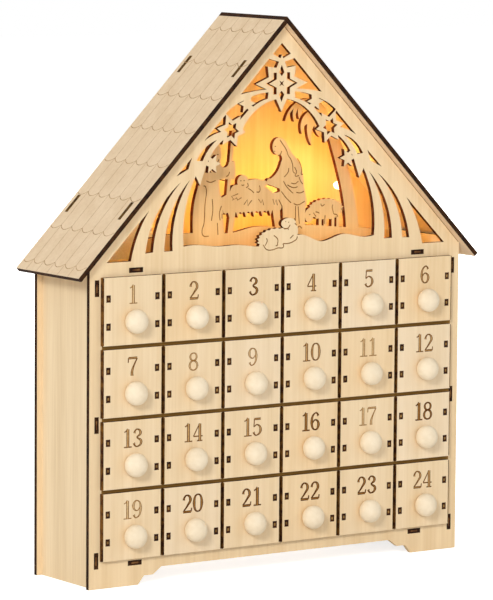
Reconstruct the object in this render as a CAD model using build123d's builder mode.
from build123d import *
import os
from math import atan2, cos, degrees, radians, sin, tan

# Wooden advent calendar: a plywood house with twenty-four drawers and a lit gable.
# Millimetres, +Z up, front towards -Y, origin on the table under the middle of the whole calendar.

# Sheet stock and joinery
board = 3.0
tab_clearance = 0.1
cut_overrun = 1.0
roof_clearance = 0.3

# Drawers
columns = 6
rows = 4
front_width = 42.9
column_gap = 1.7
row_gap = 2.4
rail_height = 5.2
front_overlap = 1.4
side_board_setback = 3.7
tray_length = 54.0
tray_height = 38.2
tray_side_play = 0.5
tray_lift = 0.2
tray_head_play = 0.6
front_tab_height = 4.2
lower_front_tab = 11.7
upper_front_tab = 28.9

# Knobs
knob_centre_height = 14.5
knob_radius = 7.4
knob_length = 10.5
knob_waist = 4.6
knob_neck_radius = 4.9

# Case
rear_clearance = 3.2
stile_width = 7.2
wall_inset = 3.8
floor_underside = 12.5
ceiling_gap = 3.3
eave_lift = 3.3
wall_tab_height = 10.0
wall_tab_low = 17.5
wall_tab_drop = 14.7
board_tab_length = 10.0
board_tab_inset = 33.5
foot_length = 36.0
foot_step_run = 4.4
foot_step_height = 5.3
foot_ledge = 6.6
foot_rise_run = 6.2
foot_height = 9.8

# Roof
roof_pitch = 45.5
eave_overhang = 13.1
roof_front_overhang = 5.4
roof_back_overhang = 3.6
roof_tab_length = 14.0
roof_tab_shares = (0.207, 0.795)

# Scene panel, lamps and battery box
scene_gap = 12.0
scene_height_share = 0.697
scene_tab_length = 12.0
scene_tab_share = 0.55
lamp_radius = 2.5
lamp_length = 6.5
lamp_flange_radius = 2.9
lamp_flange = 1.0
box_length = 50.0
box_height = 22.0
box_depth = 15.0
box_wall = 1.5
box_ledge = 1.2
box_inset = 25.0
box_reveal = 2.5
box_end = 13.0
box_fit = 0.1
switch_travel = 3.5
switch_length = 4.0
switch_height = 3.0
switch_proud = 1.8
switch_fit = 0.1
switch_seat = 0.3

# Sizes that follow
column_pitch = front_width + column_gap
tray_width = front_width - 2 * side_board_setback + board
opening_width = tray_width + 2 * tray_side_play
opening_height = tray_height + tray_lift + tray_head_play
row_pitch = opening_height + rail_height
front_height = row_pitch - row_gap
panel_width = columns * column_pitch + 2 * stile_width
half_width = panel_width / 2
case_depth = tray_length + rear_clearance + 2 * board
inner_depth = case_depth - 2 * board
floor_top = floor_underside + board
first_shelf_top = floor_top + board
ceiling_underside = first_shelf_top + (rows - 1) * row_pitch + opening_height + ceiling_gap
ceiling_top = ceiling_underside + board
wall_height = ceiling_top + eave_lift
pitch_cos = cos(radians(roof_pitch))
pitch_sin = sin(radians(roof_pitch))
gable_rise = half_width * tan(radians(roof_pitch))
apex_height = wall_height + gable_rise
slope_length = half_width / pitch_cos
scene_height = gable_rise * scene_height_share
wall_outer = half_width - wall_inset
wall_middle = wall_outer - board / 2
wall_top = apex_height - wall_outer * tan(radians(roof_pitch)) - roof_clearance
board_half_length = wall_outer - board - tab_clearance
board_tab_x = half_width - board_tab_inset
wall_tab_top = wall_height - wall_tab_drop
wall_tab_heights = (wall_tab_low, (wall_tab_low + wall_tab_top) / 2, wall_tab_top)
roof_tab_places = [share * slope_length for share in roof_tab_shares]
slot_width = board + 2 * tab_clearance

# Depths: the whole calendar, from the knobs to the rear of the roof, is centred on Y = 0
front_y = (board + knob_length - case_depth - roof_back_overhang) / 2
inner_front_y = front_y + board
back_y = front_y + case_depth
inner_back_y = back_y - board
middle_y = (inner_front_y + inner_back_y) / 2
scene_y = front_y + scene_gap

# Columns and rows of the drawers
column_places = [(column - (columns - 1) / 2) * column_pitch for column in range(columns)]
shelf_tops = [first_shelf_top + row * row_pitch for row in range(rows)]
divider_places = [(step - columns / 2) * column_pitch for step in range(1, columns)]

# Gable tracery, in shares of the gable's half width and of its rise above the eaves
main_star_share = (0.0, 0.739)
high_star_share = (0.184, 0.657)
side_star_share = (0.266, 0.544)
low_star_share = (0.367, 0.403)
main_star_radius_shares = (0.140, 0.075, 0.107, 0.075, 0.126, 0.075, 0.107, 0.075)
main_star_slit_shares = (
    (0.086, 0.0), (0.045, 0.020), (0.045, 0.048), (0.027, 0.048), (0.027, 0.018), (0.067, 0.0),
    (0.027, -0.018), (0.027, -0.048), (0.045, -0.048), (0.045, -0.020),
)
main_star_kite_shares = ((0.0, 0.082), (0.014, 0.049), (0.0, 0.032), (-0.014, 0.049))
main_star_eye_shares = (0.018, 0.005)
main_star_eye_turn = 45.0
side_star_radius_shares = (0.078, 0.042)
side_star_eye_shares = (0.040, 0.023)
side_star_turn = 8.0
small_star_radius_shares = (0.045, 0.022)
apex_cut_shares = ((0.0, 0.914), (0.048, 0.867), (0.0, 0.844), (-0.048, 0.867))
arch_start_share = (0.0, 0.020)
arch_run_shares = (
    ((0.516, 0.020),),
    ((0.516, 0.057),),
    ((0.510, 0.197), (0.454, 0.354)),
    ((0.431, 0.312),),
    ((0.397, 0.403),),
    ((0.387, 0.420),),
    ((0.355, 0.466), (0.306, 0.507)),
    ((0.266, 0.544),),
    ((0.208, 0.546),),
    ((0.128, 0.633), (0.0, 0.674)),
    ((0.0, 0.020),),
)
ground_start_share = (-0.530, 0.010)
ground_run_shares = (
    ((-0.530, 0.051),),
    ((-0.430, 0.056), (-0.330, 0.045), (-0.230, 0.047), (-0.140, 0.036), (0.0, 0.050), (0.125, 0.074),
     (0.220, 0.041), (0.340, 0.067), (0.430, 0.053), (0.530, 0.058)),
    ((0.530, 0.010),),
    ((-0.530, 0.010),),
)
side_cut_shares = (
    ((0.069, 0.847), (((0.218, 0.697),), ((0.156, 0.708), (0.078, 0.715)), ((0.0, 0.739),),
                      ((0.0, 0.829),), ((0.069, 0.847),))),
    ((0.071, 0.702), (((0.128, 0.695), (0.184, 0.678)), ((0.184, 0.657),), ((0.152, 0.643),),
                      ((0.113, 0.663), (0.073, 0.675)), ((0.071, 0.702),))),
    ((0.202, 0.671), (((0.247, 0.652), (0.296, 0.619)), ((0.266, 0.544),), ((0.216, 0.593),),
                      ((0.177, 0.628),), ((0.184, 0.657),), ((0.202, 0.671),))),
    ((0.411, 0.502), (((0.299, 0.612),), ((0.266, 0.544),), ((0.344, 0.534), (0.411, 0.502)))),
    ((0.343, 0.505), (((0.384, 0.469), (0.418, 0.417)), ((0.450, 0.420),), ((0.410, 0.470), (0.343, 0.505)))),
    ((0.474, 0.434), (((0.493, 0.385),), ((0.555, 0.356),), ((0.474, 0.434),))),
    ((0.484, 0.339), (((0.560, 0.183), (0.573, 0.037)), ((0.617, 0.037),), ((0.594, 0.169), (0.484, 0.339)))),
    ((0.530, 0.332), (((0.642, 0.176), (0.675, 0.037)), ((0.715, 0.034),), ((0.663, 0.187), (0.530, 0.332)))),
    ((0.695, 0.217), (((0.748, 0.128), (0.789, 0.004)), ((0.913, 0.004),), ((0.695, 0.217),))),
)
lying_body_share = (-0.018, 0.058)
lying_body_size_shares = (0.108, 0.055)
lying_head_share = (0.044, 0.128)
lying_head_size_shares = (0.040, 0.024)
lying_neck_share = (0.070, 0.094)
lying_neck_size_shares = (0.026, 0.038)
wool_depth_share = 0.90
lying_wool_teeth = 22

# Scene, in shares of the scene's height, from the middle of the ceiling board's top
scene_ground_start_share = (-0.96, 0.0)
scene_ground_run_shares = (
    ((-0.96, 0.145),),
    ((-0.64, 0.178), (-0.45, 0.170), (-0.27, 0.166), (-0.12, 0.193), (0.05, 0.185), (0.27, 0.187),
     (0.45, 0.172), (0.62, 0.155), (0.80, 0.140), (0.96, 0.120)),
    ((0.96, 0.0),),
    ((-0.96, 0.0),),
)
man_start_share = (-0.575, 0.14)
man_run_shares = (
    ((-0.579, 0.28), (-0.568, 0.37), (-0.545, 0.45), (-0.520, 0.53), (-0.485, 0.590), (-0.445, 0.610)),
    ((-0.375, 0.610),),
    ((-0.350, 0.575), (-0.312, 0.606)),
    ((-0.268, 0.610),),
    ((-0.262, 0.550), (-0.266, 0.497)),
    ((-0.380, 0.503),),
    ((-0.378, 0.430), (-0.362, 0.380)),
    ((-0.340, 0.14),),
    ((-0.575, 0.14),),
)
man_head_share = (-0.412, 0.652)
man_head_size_shares = (0.043, 0.058)
man_hood_start_share = (-0.372, 0.690)
man_hood_run_shares = (((-0.430, 0.722), (-0.470, 0.650)), ((-0.475, 0.610), (-0.490, 0.580)), ((-0.400, 0.600),),
                       ((-0.372, 0.690),))
staff_share = ((-0.334, 0.34), (-0.311, 0.34), (-0.268, 0.80), (-0.290, 0.80))
manger_start_share = (-0.372, 0.385)
manger_run_shares = (
    ((-0.335, 0.400), (-0.300, 0.425)), ((-0.285, 0.452), (-0.250, 0.462)), ((-0.150, 0.468), (-0.050, 0.446)),
    ((-0.012, 0.428), (0.010, 0.410)), ((0.050, 0.400), (0.100, 0.424)), ((0.118, 0.418), (0.130, 0.400)),
    ((0.085, 0.290),), ((-0.350, 0.290),),
    ((-0.372, 0.385),),
)
straw_teeth = 14
straw_drop_share = 0.022
straw_span_shares = (-0.350, 0.085)
straw_top_share = 0.300
manger_leg_shares = (
    ((-0.300, 0.30), (-0.258, 0.30), (-0.282, 0.14), (-0.320, 0.14)),
    ((0.022, 0.30), (0.075, 0.30), (0.098, 0.14), (0.052, 0.14)),
)
child_head_share = (-0.205, 0.480)
child_head_radius_share = 0.042
child_body_share = (-0.110, 0.462)
child_body_size_shares = (0.095, 0.030)
woman_start_share = (0.095, 0.14)
woman_run_shares = (
    ((0.100, 0.30), (0.075, 0.425)),
    ((-0.010, 0.455),),
    ((-0.022, 0.475), (0.005, 0.490)),
    ((0.060, 0.535), (0.085, 0.590)),
    ((0.090, 0.625), (0.060, 0.645)),
    ((0.045, 0.740),),
    ((0.085, 0.745), (0.130, 0.705), (0.160, 0.655), (0.215, 0.595), (0.250, 0.535), (0.262, 0.46),
     (0.272, 0.40), (0.285, 0.345)),
    ((0.276, 0.280), (0.280, 0.14)),
    ((0.095, 0.14),),
)
woman_head_share = (0.062, 0.690)
woman_head_size_shares = (0.043, 0.053)
grazing_body_share = (0.435, 0.280)
grazing_body_size_shares = (0.140, 0.070)
grazing_head_share = (0.305, 0.245)
grazing_head_size_shares = (0.032, 0.044)
grazing_wool_teeth = 22
grazing_leg_shares = (0.392, 0.430, 0.492, 0.530)
grazing_leg_width_share = 0.022
grazing_leg_foot_share = 0.14
trunk_start_share = (0.595, 0.14)
trunk_run_shares = (
    ((0.555, 0.41), (0.450, 0.74), (0.425, 0.81), (0.405, 0.86)), ((0.490, 0.85),),
    ((0.535, 0.74), (0.640, 0.43), (0.695, 0.14)), ((0.595, 0.14),),
)
frond_shares = (
    ((0.455, 0.866), (((0.290, 0.985), (0.112, 0.846)), ((0.150, 0.895), (0.178, 0.925)),
                      ((0.172, 0.880), (0.183, 0.841)), ((0.196, 0.890), (0.214, 0.930)),
                      ((0.212, 0.893), (0.222, 0.856)), ((0.240, 0.900), (0.272, 0.932)),
                      ((0.350, 0.905), (0.410, 0.830)), ((0.455, 0.866),))),
    ((0.430, 0.856), (((0.290, 0.900), (0.243, 0.762)), ((0.255, 0.800), (0.285, 0.825)),
                      ((0.290, 0.745), (0.318, 0.687)), ((0.315, 0.760), (0.340, 0.815)),
                      ((0.355, 0.765), (0.385, 0.737)), ((0.390, 0.790), (0.430, 0.810)), ((0.430, 0.856),))),
    ((0.438, 0.854), (((0.530, 0.880), (0.610, 0.740)), ((0.575, 0.780), (0.545, 0.800)),
                      ((0.545, 0.760), (0.555, 0.720)), ((0.510, 0.760), (0.455, 0.800)), ((0.438, 0.854),))),
)
lamp_shares = ((-0.470, 0.390), (-0.120, 0.395), (0.180, 0.460), (0.575, 0.420))


def gable_point(share, side=1):
    """Point of the gable from its shares, on the right or mirrored to the left."""
    across, up = share
    return (side * across * half_width, wall_height + up * gable_rise)


def scene_point(share):
    """Point of the scene panel from its shares."""
    across, up = share
    return (across * scene_height, ceiling_top + up * scene_height)


def front_plane(rear_face_y):
    """Plane of a board's rear face: across, up, and extruded towards the front."""
    return Plane.XZ.offset(-rear_face_y)


def traced(start, runs, place):
    """Face inside a closed outline: runs of one point are lines, of two arcs, of more splines."""
    with BuildSketch() as face:
        with BuildLine():
            here = start
            for run in runs:
                points = [place(share) for share in (here, *run)]
                if len(points) == 2:
                    Line(*points)
                elif len(points) == 3:
                    ThreePointArc(*points)
                else:
                    Spline(*points)
                here = run[-1]
        make_face()
    return face.sketch


def star(radii, count, turn=0.0):
    """Star of so many spokes, whose radii repeat around it."""
    points = []
    for spoke in range(count):
        radius = radii[spoke % len(radii)]
        angle = radians(turn + 360 * spoke / count)
        points.append((radius * cos(angle), radius * sin(angle)))
    with BuildSketch() as face:
        Polygon(*points, align=None)
    return face.sketch


def wool(half_length, half_height, teeth):
    """Oval with a woolly edge."""
    points = []
    for step in range(2 * teeth):
        reach = 1 if step % 2 else wool_depth_share
        angle = radians(180 * step / teeth)
        points.append((reach * half_length * cos(angle), reach * half_height * sin(angle)))
    with BuildSketch() as face:
        Polygon(*points, align=None)
    return face.sketch


def outer_panel():
    """Gable outline with feet below and tabs along both slopes for the roof."""
    foot_end = half_width - foot_length
    ledge_end = foot_end - foot_step_run - foot_ledge
    right_foot = [
        (ledge_end - foot_rise_run, foot_height),
        (ledge_end, foot_step_height),
        (foot_end - foot_step_run, foot_step_height),
        (foot_end, 0),
        (half_width, 0),
        (half_width, wall_height),
    ]
    left_foot = [(-across, up) for across, up in reversed(right_foot)]
    with BuildSketch() as face:
        Polygon(*right_foot, (0, apex_height), *left_foot, align=None)
        for side in (-1, 1):
            for place in roof_tab_places:
                lift = (board - cut_overrun) / 2
                middle = (
                    side * (place * pitch_cos + lift * pitch_sin),
                    apex_height - place * pitch_sin + lift * pitch_cos,
                )
                with Locations(middle):
                    Rectangle(roof_tab_length, board + cut_overrun, rotation=-side * roof_pitch)
        for side in (-1, 1):
            for height in wall_tab_heights:
                with Locations((side * wall_middle, height)):
                    Rectangle(slot_width, wall_tab_height + 2 * tab_clearance, mode=Mode.SUBTRACT)
            for underside in (floor_underside, ceiling_underside):
                with Locations((side * board_tab_x, underside + board / 2)):
                    Rectangle(board_tab_length + 2 * tab_clearance, slot_width, mode=Mode.SUBTRACT)
    return face.sketch


def save(name, *solids):
    """Write one named piece: a single solid, or separate solids that belong together."""
    piece = solids[0]
    if len(solids) > 1:
        piece = Compound(children=list(solids))
    piece.label = name
    export_step(piece, f"parts/{name}.step")


def across_board(underside, tab_places, slot_places, slot_tail):
    """Level board between the walls, with tabs to front and back and slots for upright boards."""
    with BuildPart() as piece:
        with BuildSketch(Plane.XY.offset(underside)):
            with Locations((0, middle_y)):
                Rectangle(2 * board_half_length, inner_depth)
                for place in tab_places:
                    with Locations((place, 0)):
                        Rectangle(board_tab_length, case_depth)
            for place in slot_places:
                with Locations((place, slot_tail)):
                    Rectangle(slot_width, inner_depth, mode=Mode.SUBTRACT)
        extrude(amount=board)
    return piece.part


def side_wall(inner_face):
    """Side wall with three tabs along each upright edge."""
    with BuildPart() as piece:
        with BuildSketch(Plane.YZ.offset(inner_face)):
            with Locations((middle_y, wall_top / 2)):
                Rectangle(inner_depth, wall_top)
            for height in wall_tab_heights:
                with Locations((middle_y, height)):
                    Rectangle(case_depth, wall_tab_height)
        extrude(amount=board)
    return piece.part


def divider(place):
    """Upright board of the egg-crate, notched from the rear over every shelf."""
    with BuildPart() as piece:
        with BuildSketch(Plane.YZ.offset(place - board / 2)):
            divider_top = ceiling_underside - tab_clearance
            with Locations((middle_y, (floor_top + divider_top) / 2)):
                Rectangle(inner_depth, divider_top - floor_top)
            for shelf_top in shelf_tops:
                with Locations((inner_back_y - tab_clearance, shelf_top - board / 2)):
                    Rectangle(inner_depth, slot_width, mode=Mode.SUBTRACT)
        extrude(amount=board)
    return piece.part


def roof_board(side, ridge_reach):
    """Roof board of one side, with four slots over the tabs of the two panels."""
    slope = Plane(
        origin=(0, 0, apex_height),
        x_dir=(side * pitch_cos, 0, -pitch_sin),
        z_dir=(side * pitch_sin, 0, pitch_cos),
    )
    eave = slope_length + eave_overhang
    roof_front = front_y - roof_front_overhang
    roof_back = back_y + roof_back_overhang
    with BuildPart() as piece:
        with BuildSketch(slope):
            with Locations(((eave - ridge_reach) / 2, side * (roof_front + roof_back) / 2)):
                Rectangle(eave + ridge_reach, roof_back - roof_front)
            for place in roof_tab_places:
                for depth in (front_y + board / 2, back_y - board / 2):
                    with Locations((place, side * depth)):
                        Rectangle(roof_tab_length + 2 * tab_clearance, slot_width, mode=Mode.SUBTRACT)
        extrude(amount=board)
    return piece.part


def mirrored_star_places(share):
    """The two places of a star that is repeated on both sides of the gable."""
    return [(side, gable_point(share, side)) for side in (-1, 1)]


def sized(shares, unit):
    """Shares turned into lengths."""
    return tuple(share * unit for share in shares)


# Front panel: outline, drawer openings, tracery with its stars, ground and lying sheep
with BuildPart() as front_panel:
    with BuildSketch(front_plane(inner_front_y)):
        add(outer_panel())
        for shelf_top in shelf_tops:
            for place in column_places:
                with Locations((place, shelf_top + opening_height / 2)):
                    Rectangle(opening_width, opening_height, mode=Mode.SUBTRACT)
        Polygon(*[gable_point(share) for share in apex_cut_shares], align=None, mode=Mode.SUBTRACT)
        add(traced(arch_start_share, arch_run_shares, gable_point), mode=Mode.SUBTRACT)
        add(traced(arch_start_share, arch_run_shares, lambda share: gable_point(share, -1)), mode=Mode.SUBTRACT)
        for start, runs in side_cut_shares:
            add(traced(start, runs, gable_point), mode=Mode.SUBTRACT)
            add(traced(start, runs, lambda share: gable_point(share, -1)), mode=Mode.SUBTRACT)
        add(traced(ground_start_share, ground_run_shares, gable_point))
        with Locations(gable_point(main_star_share)):
            add(star(sized(main_star_radius_shares, half_width), 16))
        for side, place in mirrored_star_places(side_star_share):
            with Locations(place):
                add(star(sized(side_star_radius_shares, half_width), 12, side * side_star_turn))
                add(star(sized(side_star_eye_shares, half_width), 12, side * side_star_turn), mode=Mode.SUBTRACT)
        for share in (high_star_share, low_star_share):
            for side, place in mirrored_star_places(share):
                with Locations(place):
                    add(star(sized(small_star_radius_shares, half_width), 12))
        with Locations(gable_point(main_star_share)):
            add(star(sized(main_star_eye_shares, half_width), 8, main_star_eye_turn), mode=Mode.SUBTRACT)
            for side in (-1, 1):
                slit = [sized((side * across, up), half_width) for across, up in main_star_slit_shares]
                Polygon(*slit, align=None, mode=Mode.SUBTRACT)
                kite = [sized((across, side * up), half_width) for across, up in main_star_kite_shares]
                Polygon(*kite, align=None, mode=Mode.SUBTRACT)
        with Locations(gable_point(lying_body_share)):
            add(wool(*sized(lying_body_size_shares, half_width), lying_wool_teeth))
        with Locations(gable_point(lying_head_share)):
            Ellipse(*sized(lying_head_size_shares, half_width))
        with Locations(gable_point(lying_neck_share)):
            Ellipse(*sized(lying_neck_size_shares, half_width))
    extrude(amount=board)

# Battery box and the opening of the back panel that reaches it
box_left = box_inset - half_width
box_middle = (box_left + box_length / 2, ceiling_top + box_height / 2)
box_front_y = inner_back_y - box_depth
lid_length = box_length - box_end - box_wall
lid_height = box_height - 2 * box_wall
lid_middle = (box_left + box_wall + lid_length / 2, box_middle[1])
switch_middle_x = box_left + box_length - box_end / 2

with BuildPart() as back_panel:
    with BuildSketch(front_plane(back_y)):
        add(outer_panel())
        with Locations(box_middle):
            Rectangle(box_length - 2 * box_reveal, box_height - 2 * box_reveal, mode=Mode.SUBTRACT)
    extrude(amount=board)

with BuildPart() as box_case:
    with BuildSketch(front_plane(inner_back_y)):
        with Locations(box_middle):
            Rectangle(box_length, box_height)
    extrude(amount=box_depth)
    with BuildSketch(front_plane(inner_back_y)):
        with Locations(lid_middle):
            Rectangle(lid_length, lid_height)
    extrude(amount=box_wall, mode=Mode.SUBTRACT)
    with BuildSketch(front_plane(inner_back_y)):
        with Locations(lid_middle):
            Rectangle(lid_length - 2 * box_ledge, lid_height - 2 * box_ledge)
    extrude(amount=box_depth - box_wall, mode=Mode.SUBTRACT)
    with BuildSketch(front_plane(inner_back_y)):
        with Locations((switch_middle_x, box_middle[1])):
            Rectangle(switch_length + switch_travel + 2 * switch_fit, switch_height + 2 * switch_fit)
    extrude(amount=box_wall + switch_seat, mode=Mode.SUBTRACT)

with BuildPart() as box_lid:
    with BuildSketch(front_plane(inner_back_y)):
        with Locations(lid_middle):
            Rectangle(lid_length - 2 * box_fit, lid_height - 2 * box_fit)
    extrude(amount=box_wall)

with BuildPart() as switch_slider:
    with BuildSketch(front_plane(inner_back_y + switch_proud)):
        with Locations((switch_middle_x - switch_travel / 2, box_middle[1])):
            Rectangle(switch_length, switch_height)
    extrude(amount=switch_proud + box_wall)

# Scene panel: ground, man with staff, manger with child, woman, grazing sheep and palm tree
with BuildPart() as scene_panel:
    with BuildSketch(front_plane(scene_y + board)):
        add(traced(scene_ground_start_share, scene_ground_run_shares, scene_point))
        add(traced(man_start_share, man_run_shares, scene_point))
        add(traced(man_hood_start_share, man_hood_run_shares, scene_point))
        Polygon(*[scene_point(share) for share in staff_share], align=None)
        add(traced(manger_start_share, manger_run_shares, scene_point))
        for leg in manger_leg_shares:
            Polygon(*[scene_point(share) for share in leg], align=None)
        straw_left, straw_right = straw_span_shares
        straw_step = (straw_right - straw_left) / straw_teeth
        for tooth in range(straw_teeth):
            tooth_left = straw_left + tooth * straw_step
            tooth_tip = straw_top_share - straw_drop_share * (1 + tooth % 2)
            tooth_shares = ((tooth_left, straw_top_share), (tooth_left + straw_step / 2, tooth_tip),
                            (tooth_left + straw_step, straw_top_share))
            Polygon(*[scene_point(share) for share in tooth_shares], align=None)
        with Locations(scene_point(child_head_share)):
            Circle(child_head_radius_share * scene_height)
        with Locations(scene_point(child_body_share)):
            Ellipse(*sized(child_body_size_shares, scene_height))
        add(traced(woman_start_share, woman_run_shares, scene_point))
        for share, size in ((man_head_share, man_head_size_shares), (woman_head_share, woman_head_size_shares)):
            with Locations(scene_point(share)):
                Ellipse(*sized(size, scene_height))
        with Locations(scene_point(grazing_body_share)):
            add(wool(*sized(grazing_body_size_shares, scene_height), grazing_wool_teeth))
        with Locations(scene_point(grazing_head_share)):
            Ellipse(*sized(grazing_head_size_shares, scene_height))
        leg_height = (grazing_body_share[1] - grazing_leg_foot_share) * scene_height
        for leg in grazing_leg_shares:
            with Locations(scene_point((leg, (grazing_body_share[1] + grazing_leg_foot_share) / 2))):
                Rectangle(grazing_leg_width_share * scene_height, leg_height)
        add(traced(trunk_start_share, trunk_run_shares, scene_point))
        for start, runs in frond_shares:
            add(traced(start, runs, scene_point))
        for side in (-1, 1):
            with Locations((side * scene_tab_share * scene_height, ceiling_top)):
                Rectangle(scene_tab_length, 2 * board)
    extrude(amount=board)


def lamp(share):
    """Lamp with a flange, seated on the rear face of the scene panel."""
    across, up = scene_point(share)
    seat_y = scene_y + board
    shoulder_y = seat_y + lamp_length - lamp_radius
    flange_y = seat_y + lamp_flange
    with BuildPart() as piece:
        with BuildSketch(Plane.XY.offset(up)):
            with BuildLine():
                Polyline(
                    (across, seat_y + lamp_length),
                    (across, seat_y),
                    (across + lamp_flange_radius, seat_y),
                    (across + lamp_flange_radius, flange_y),
                    (across + lamp_radius, flange_y),
                    (across + lamp_radius, shoulder_y),
                )
                CenterArc((across, shoulder_y), lamp_radius, 0, 90)
            make_face()
        revolve(axis=Axis((across, seat_y, up), (0, 1, 0)))
    return piece.part


def drawer_front():
    """Drawer front with four tab slots, at the origin column and lowest row."""
    front_low = first_shelf_top - front_overlap
    with BuildPart() as piece:
        with BuildSketch(front_plane(front_y)):
            with Locations((0, front_low + front_height / 2)):
                Rectangle(front_width, front_height)
            for side in (-1, 1):
                for height in (lower_front_tab, upper_front_tab):
                    with Locations((side * (front_width / 2 - side_board_setback), front_low + height)):
                        Rectangle(slot_width, front_tab_height + 2 * tab_clearance, mode=Mode.SUBTRACT)
        extrude(amount=board)
    return piece.part


def drawer_side(side):
    """Side board of a drawer with two tabs through the front."""
    tray_low = first_shelf_top + tray_lift
    front_low = first_shelf_top - front_overlap
    side_middle = side * (front_width / 2 - side_board_setback)
    with BuildPart() as piece:
        with BuildSketch(Plane.YZ.offset(side_middle - board / 2)):
            with Locations((front_y + tray_length / 2, tray_low + tray_height / 2)):
                Rectangle(tray_length, tray_height)
            for height in (lower_front_tab, upper_front_tab):
                with Locations((front_y, front_low + height)):
                    Rectangle(2 * board, front_tab_height)
        extrude(amount=board)
    return piece.part


def drawer_back():
    """Back board of a drawer, between its sides."""
    tray_low = first_shelf_top + tray_lift
    with BuildPart() as piece:
        with BuildSketch(front_plane(front_y + tray_length)):
            with Locations((0, tray_low + tray_height / 2)):
                Rectangle(tray_width - 2 * board, tray_height)
        extrude(amount=board)
    return piece.part


def drawer_bottom():
    """Bottom board of a drawer, between front, sides and back."""
    tray_low = first_shelf_top + tray_lift
    with BuildPart() as piece:
        with BuildSketch(Plane.XY.offset(tray_low)):
            with Locations((0, front_y + (tray_length - board) / 2)):
                Rectangle(tray_width - 2 * board, tray_length - board)
        extrude(amount=board)
    return piece.part


def turned_knob():
    """Mushroom knob, a flared neck under a round crown, glued flat to the drawer front."""
    axis_height = first_shelf_top - front_overlap + knob_centre_height
    seat_y = front_y - board
    crown_height = knob_length - knob_waist
    crown_radius = (crown_height**2 + knob_radius**2) / (2 * crown_height)
    crown_centre = knob_length - crown_radius
    rim_angle = degrees(atan2(knob_waist - crown_centre, knob_radius))
    with BuildPart() as piece:
        with BuildSketch(Plane.XY.offset(axis_height)):
            with BuildLine():
                Polyline(
                    (0, seat_y - knob_length),
                    (0, seat_y),
                    (knob_neck_radius, seat_y),
                    (knob_radius, seat_y - knob_waist),
                )
                CenterArc((0, seat_y - crown_centre), crown_radius, -rim_angle, rim_angle - 90)
            make_face()
        revolve(axis=Axis((0, seat_y, axis_height), (0, 1, 0)))
    return piece.part


os.makedirs("parts", exist_ok=True)

scene_tab_half = scene_tab_length / 2 + tab_clearance
with BuildPart() as ceiling_board:
    add(across_board(ceiling_underside, (-board_tab_x, board_tab_x), (), 0))
    with BuildSketch(Plane.XY.offset(ceiling_underside)):
        for side in (-1, 1):
            with Locations((side * scene_tab_share * scene_height, scene_y + board / 2)):
                Rectangle(2 * scene_tab_half, slot_width)
    extrude(amount=board, mode=Mode.SUBTRACT)

floor_board = across_board(floor_underside, (-board_tab_x, board_tab_x), (), 0)
half_lap_tail = middle_y - inner_depth / 2 + tab_clearance
shelves = [across_board(shelf_top - board, (), divider_places, half_lap_tail) for shelf_top in shelf_tops]

save("front_panel", front_panel.part)
save("back_panel", back_panel.part)
save("left_wall", side_wall(-wall_outer))
save("right_wall", side_wall(wall_outer - board))
save("shelf_boards", floor_board, ceiling_board.part, *shelves)
save("divider_boards", *[divider(place) for place in divider_places])
save("roof_left", roof_board(-1, 0))
save("roof_right", roof_board(1, board))
save("scene_panel", scene_panel.part)
save("lamps", *[lamp(share) for share in lamp_shares])
save("battery_box", box_case.part, box_lid.part)
save("switch_slider", switch_slider.part)

tray = (drawer_front(), drawer_side(-1), drawer_side(1), drawer_back(), drawer_bottom())
knob = turned_knob()
for row in range(rows):
    for column in range(columns):
        number = (rows - 1 - row) * columns + column + 1
        place = Location((column_places[column], 0, row * row_pitch))
        save(f"drawer_{number:02d}", *[piece.moved(place) for piece in tray])
        save(f"knob_{number:02d}", knob.moved(place))
